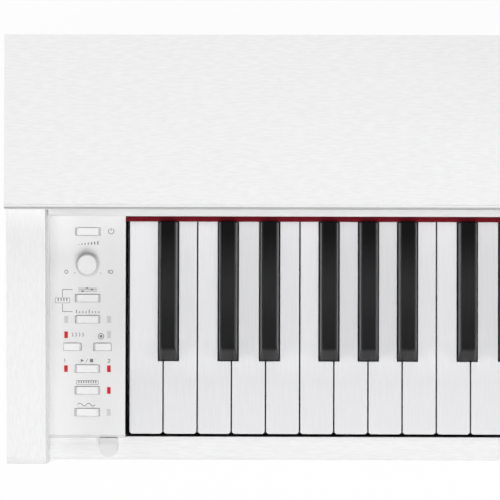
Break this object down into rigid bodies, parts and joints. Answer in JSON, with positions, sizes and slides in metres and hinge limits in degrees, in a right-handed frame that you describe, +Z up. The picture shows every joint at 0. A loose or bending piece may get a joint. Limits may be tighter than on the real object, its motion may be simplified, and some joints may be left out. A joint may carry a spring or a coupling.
{
  "type": "digital piano on stand",
  "caption": "Slim white console digital piano with a full weighted keyboard, side control panel, sliding lid, pedals and a panel stand.",
  "frame": {"origin": "on the floor, under the middle of the whole piano", "axes": "+X from the bass end to the treble end, +Y from the player to the back, +Z up"},
  "size_m": [1.3898, 0.299, 0.9647],
  "materials": {
    "laminate": "white wood-grain laminate on board",
    "lid": "white laminate",
    "panel_plastic": "fine moulded texture",
    "button_plastic": "fine moulded texture",
    "knob_plastic": "satin",
    "white_key": "fine ivory grain",
    "black_key": "fine ebony grain",
    "hammer_iron": "bare",
    "frame_plastic": "moulded",
    "circuit_board": "solder mask",
    "speaker_metal": "black paint and paper cone",
    "felt": "pressed felt",
    "led_lit": "lit window",
    "led_dark": "unlit window",
    "pedal_metal": "polished",
    "rubber": "matte",
    "screw_steel": "plated",
    "rest_plastic": "satin"
  },
  "bodies": {
    "cabinet": {"top_board": "laminate", "left_side_board": "laminate", "right_side_board": "laminate", "back_board": "laminate", "bottom_board": "laminate", "key_slip": "laminate", "left_leg": "laminate", "right_leg": "laminate", "rear_panel": "laminate", "pedal_bar": "laminate", "control_panel": "panel_plastic", "right_end_panel": "panel_plastic", "key_fascia": "panel_plastic", "key_frame": "frame_plastic", "circuit_boards": "circuit_board", "speakers": "speaker_metal", "felt_strip": "felt", "lit_led_windows": "led_lit", "dark_led_windows": "led_dark", "rubber_pads": "rubber", "cabinet_screws": "screw_steel"},
    "power_button": {"power_button": "button_plastic"},
    "function_button": {"function_button": "button_plastic"},
    "metronome_button": {"metronome_button": "button_plastic"},
    "reverb_button": {"reverb_button": "button_plastic"},
    "record_button": {"record_button": "button_plastic"},
    "play_button": {"play_button": "button_plastic"},
    "tone_one_button": {"tone_one_button": "button_plastic"},
    "tone_two_button": {"tone_two_button": "button_plastic"},
    "soft_pedal": {"soft_pedal": "pedal_metal"},
    "sostenuto_pedal": {"sostenuto_pedal": "pedal_metal"},
    "damper_pedal": {"damper_pedal": "pedal_metal"},
    "volume_knob": {"volume_knob": "knob_plastic"},
    "music_rest": {"music_rest": "rest_plastic"},
    "lid_front_leaf": {"lid_front_leaf": "lid"},
    "lid_rear_leaf": {"lid_rear_leaf": "lid"},
    "keys_c": {"keys_c": "white_key"},
    "keys_c_sharp": {"keys_c_sharp": "black_key"},
    "keys_d": {"keys_d": "white_key"},
    "keys_d_sharp": {"keys_d_sharp": "black_key"},
    "keys_e": {"keys_e": "white_key"},
    "keys_f": {"keys_f": "white_key"},
    "keys_f_sharp": {"keys_f_sharp": "black_key"},
    "keys_g": {"keys_g": "white_key"},
    "keys_g_sharp": {"keys_g_sharp": "black_key"},
    "keys_a": {"keys_a": "white_key"},
    "keys_a_sharp": {"keys_a_sharp": "black_key"},
    "keys_b": {"keys_b": "white_key"},
    "hammers_c": {"hammers_c": "hammer_iron"},
    "hammers_c_sharp": {"hammers_c_sharp": "hammer_iron"},
    "hammers_d": {"hammers_d": "hammer_iron"},
    "hammers_d_sharp": {"hammers_d_sharp": "hammer_iron"},
    "hammers_e": {"hammers_e": "hammer_iron"},
    "hammers_f": {"hammers_f": "hammer_iron"},
    "hammers_f_sharp": {"hammers_f_sharp": "hammer_iron"},
    "hammers_g": {"hammers_g": "hammer_iron"},
    "hammers_g_sharp": {"hammers_g_sharp": "hammer_iron"},
    "hammers_a": {"hammers_a": "hammer_iron"},
    "hammers_a_sharp": {"hammers_a_sharp": "hammer_iron"},
    "hammers_b": {"hammers_b": "hammer_iron"}
  },
  "joints": [
    {"name": "keys_c_press", "type": "hinge", "parent": "cabinet", "child": "keys_c", "pos_m": [0, 0.0822, 0.716], "axis": [1, 0, 0], "range_deg": [0, 2.7]},
    {"name": "hammers_c_swing", "type": "hinge", "parent": "cabinet", "child": "hammers_c", "pos_m": [0, -0.0168, 0.686], "axis": [1, 0, 0], "range_deg": [0, 12]},
    {"name": "keys_c_sharp_press", "type": "hinge", "parent": "cabinet", "child": "keys_c_sharp", "pos_m": [0, 0.0822, 0.716], "axis": [1, 0, 0], "range_deg": [0, 2.7]},
    {"name": "hammers_c_sharp_swing", "type": "hinge", "parent": "cabinet", "child": "hammers_c_sharp", "pos_m": [0, -0.0168, 0.686], "axis": [1, 0, 0], "range_deg": [0, 12]},
    {"name": "keys_d_press", "type": "hinge", "parent": "cabinet", "child": "keys_d", "pos_m": [0, 0.0822, 0.716], "axis": [1, 0, 0], "range_deg": [0, 2.7]},
    {"name": "hammers_d_swing", "type": "hinge", "parent": "cabinet", "child": "hammers_d", "pos_m": [0, -0.0168, 0.686], "axis": [1, 0, 0], "range_deg": [0, 12]},
    {"name": "keys_d_sharp_press", "type": "hinge", "parent": "cabinet", "child": "keys_d_sharp", "pos_m": [0, 0.0822, 0.716], "axis": [1, 0, 0], "range_deg": [0, 2.7]},
    {"name": "hammers_d_sharp_swing", "type": "hinge", "parent": "cabinet", "child": "hammers_d_sharp", "pos_m": [0, -0.0168, 0.686], "axis": [1, 0, 0], "range_deg": [0, 12]},
    {"name": "keys_e_press", "type": "hinge", "parent": "cabinet", "child": "keys_e", "pos_m": [0, 0.0822, 0.716], "axis": [1, 0, 0], "range_deg": [0, 2.7]},
    {"name": "hammers_e_swing", "type": "hinge", "parent": "cabinet", "child": "hammers_e", "pos_m": [0, -0.0168, 0.686], "axis": [1, 0, 0], "range_deg": [0, 12]},
    {"name": "keys_f_press", "type": "hinge", "parent": "cabinet", "child": "keys_f", "pos_m": [0, 0.0822, 0.716], "axis": [1, 0, 0], "range_deg": [0, 2.7]},
    {"name": "hammers_f_swing", "type": "hinge", "parent": "cabinet", "child": "hammers_f", "pos_m": [0, -0.0168, 0.686], "axis": [1, 0, 0], "range_deg": [0, 12]},
    {"name": "keys_f_sharp_press", "type": "hinge", "parent": "cabinet", "child": "keys_f_sharp", "pos_m": [0, 0.0822, 0.716], "axis": [1, 0, 0], "range_deg": [0, 2.7]},
    {"name": "hammers_f_sharp_swing", "type": "hinge", "parent": "cabinet", "child": "hammers_f_sharp", "pos_m": [0, -0.0168, 0.686], "axis": [1, 0, 0], "range_deg": [0, 12]},
    {"name": "keys_g_press", "type": "hinge", "parent": "cabinet", "child": "keys_g", "pos_m": [0, 0.0822, 0.716], "axis": [1, 0, 0], "range_deg": [0, 2.7]},
    {"name": "hammers_g_swing", "type": "hinge", "parent": "cabinet", "child": "hammers_g", "pos_m": [0, -0.0168, 0.686], "axis": [1, 0, 0], "range_deg": [0, 12]},
    {"name": "keys_g_sharp_press", "type": "hinge", "parent": "cabinet", "child": "keys_g_sharp", "pos_m": [0, 0.0822, 0.716], "axis": [1, 0, 0], "range_deg": [0, 2.7]},
    {"name": "hammers_g_sharp_swing", "type": "hinge", "parent": "cabinet", "child": "hammers_g_sharp", "pos_m": [0, -0.0168, 0.686], "axis": [1, 0, 0], "range_deg": [0, 12]},
    {"name": "keys_a_press", "type": "hinge", "parent": "cabinet", "child": "keys_a", "pos_m": [0, 0.0822, 0.716], "axis": [1, 0, 0], "range_deg": [0, 2.7]},
    {"name": "hammers_a_swing", "type": "hinge", "parent": "cabinet", "child": "hammers_a", "pos_m": [0, -0.0168, 0.686], "axis": [1, 0, 0], "range_deg": [0, 12]},
    {"name": "keys_a_sharp_press", "type": "hinge", "parent": "cabinet", "child": "keys_a_sharp", "pos_m": [0, 0.0822, 0.716], "axis": [1, 0, 0], "range_deg": [0, 2.7]},
    {"name": "hammers_a_sharp_swing", "type": "hinge", "parent": "cabinet", "child": "hammers_a_sharp", "pos_m": [0, -0.0168, 0.686], "axis": [1, 0, 0], "range_deg": [0, 12]},
    {"name": "keys_b_press", "type": "hinge", "parent": "cabinet", "child": "keys_b", "pos_m": [0, 0.0822, 0.716], "axis": [1, 0, 0], "range_deg": [0, 2.7]},
    {"name": "hammers_b_swing", "type": "hinge", "parent": "cabinet", "child": "hammers_b", "pos_m": [0, -0.0168, 0.686], "axis": [1, 0, 0], "range_deg": [0, 12]},
    {"name": "power_button_press", "type": "slide", "parent": "cabinet", "child": "power_button", "axis": [0, 0, -1], "range_m": [0, 0.0008], "stiffness_N_per_m": 400, "springref_m": -0.002},
    {"name": "function_button_press", "type": "slide", "parent": "cabinet", "child": "function_button", "axis": [0, 0, -1], "range_m": [0, 0.0008], "stiffness_N_per_m": 400, "springref_m": -0.002},
    {"name": "metronome_button_press", "type": "slide", "parent": "cabinet", "child": "metronome_button", "axis": [0, 0, -1], "range_m": [0, 0.0008], "stiffness_N_per_m": 400, "springref_m": -0.002},
    {"name": "reverb_button_press", "type": "slide", "parent": "cabinet", "child": "reverb_button", "axis": [0, 0, -1], "range_m": [0, 0.0008], "stiffness_N_per_m": 400, "springref_m": -0.002},
    {"name": "record_button_press", "type": "slide", "parent": "cabinet", "child": "record_button", "axis": [0, 0, -1], "range_m": [0, 0.0008], "stiffness_N_per_m": 400, "springref_m": -0.002},
    {"name": "play_button_press", "type": "slide", "parent": "cabinet", "child": "play_button", "axis": [0, 0, -1], "range_m": [0, 0.0008], "stiffness_N_per_m": 400, "springref_m": -0.002},
    {"name": "tone_one_button_press", "type": "slide", "parent": "cabinet", "child": "tone_one_button", "axis": [0, 0, -1], "range_m": [0, 0.0008], "stiffness_N_per_m": 400, "springref_m": -0.002},
    {"name": "tone_two_button_press", "type": "slide", "parent": "cabinet", "child": "tone_two_button", "axis": [0, 0, -1], "range_m": [0, 0.0008], "stiffness_N_per_m": 400, "springref_m": -0.002},
    {"name": "volume_turn", "type": "hinge", "parent": "cabinet", "child": "volume_knob", "pos_m": [-0.6422, -0.0133, 0.733], "axis": [0, 0, 1], "range_deg": [-140, 140]},
    {"name": "lid_rear_leaf_slide", "type": "slide", "parent": "cabinet", "child": "lid_rear_leaf", "axis": [0, -0.9959, -0.0908], "range_m": [0, 0.075]},
    {"name": "lid_front_leaf_slide", "type": "slide", "parent": "lid_rear_leaf", "child": "lid_front_leaf", "axis": [0, -0.9959, -0.0908], "range_m": [0, 0.085]},
    {"name": "soft_pedal_press", "type": "hinge", "parent": "cabinet", "child": "soft_pedal", "pos_m": [0, 0.0665, 0.07], "axis": [1, 0, 0], "range_deg": [0, 6], "stiffness_Nm_per_rad": 1.5, "springref_deg": -20.05},
    {"name": "sostenuto_pedal_press", "type": "hinge", "parent": "cabinet", "child": "sostenuto_pedal", "pos_m": [0, 0.0665, 0.07], "axis": [1, 0, 0], "range_deg": [0, 6], "stiffness_Nm_per_rad": 1.5, "springref_deg": -20.05},
    {"name": "damper_pedal_press", "type": "hinge", "parent": "cabinet", "child": "damper_pedal", "pos_m": [0, 0.0665, 0.07], "axis": [1, 0, 0], "range_deg": [0, 6], "stiffness_Nm_per_rad": 1.5, "springref_deg": -20.05},
    {"name": "music_rest_lift", "type": "slide", "parent": "cabinet", "child": "music_rest", "axis": [0, 0, 1], "range_m": [0, 0.03]}
  ],
  "couplings": [
    {"joint": "hammers_c_swing", "follows": "keys_c_press", "ratio": 4.4},
    {"joint": "hammers_c_sharp_swing", "follows": "keys_c_sharp_press", "ratio": 4.4},
    {"joint": "hammers_d_swing", "follows": "keys_d_press", "ratio": 4.4},
    {"joint": "hammers_d_sharp_swing", "follows": "keys_d_sharp_press", "ratio": 4.4},
    {"joint": "hammers_e_swing", "follows": "keys_e_press", "ratio": 4.4},
    {"joint": "hammers_f_swing", "follows": "keys_f_press", "ratio": 4.4},
    {"joint": "hammers_f_sharp_swing", "follows": "keys_f_sharp_press", "ratio": 4.4},
    {"joint": "hammers_g_swing", "follows": "keys_g_press", "ratio": 4.4},
    {"joint": "hammers_g_sharp_swing", "follows": "keys_g_sharp_press", "ratio": 4.4},
    {"joint": "hammers_a_swing", "follows": "keys_a_press", "ratio": 4.4},
    {"joint": "hammers_a_sharp_swing", "follows": "keys_a_sharp_press", "ratio": 4.4},
    {"joint": "hammers_b_swing", "follows": "keys_b_press", "ratio": 4.4}
  ]
}
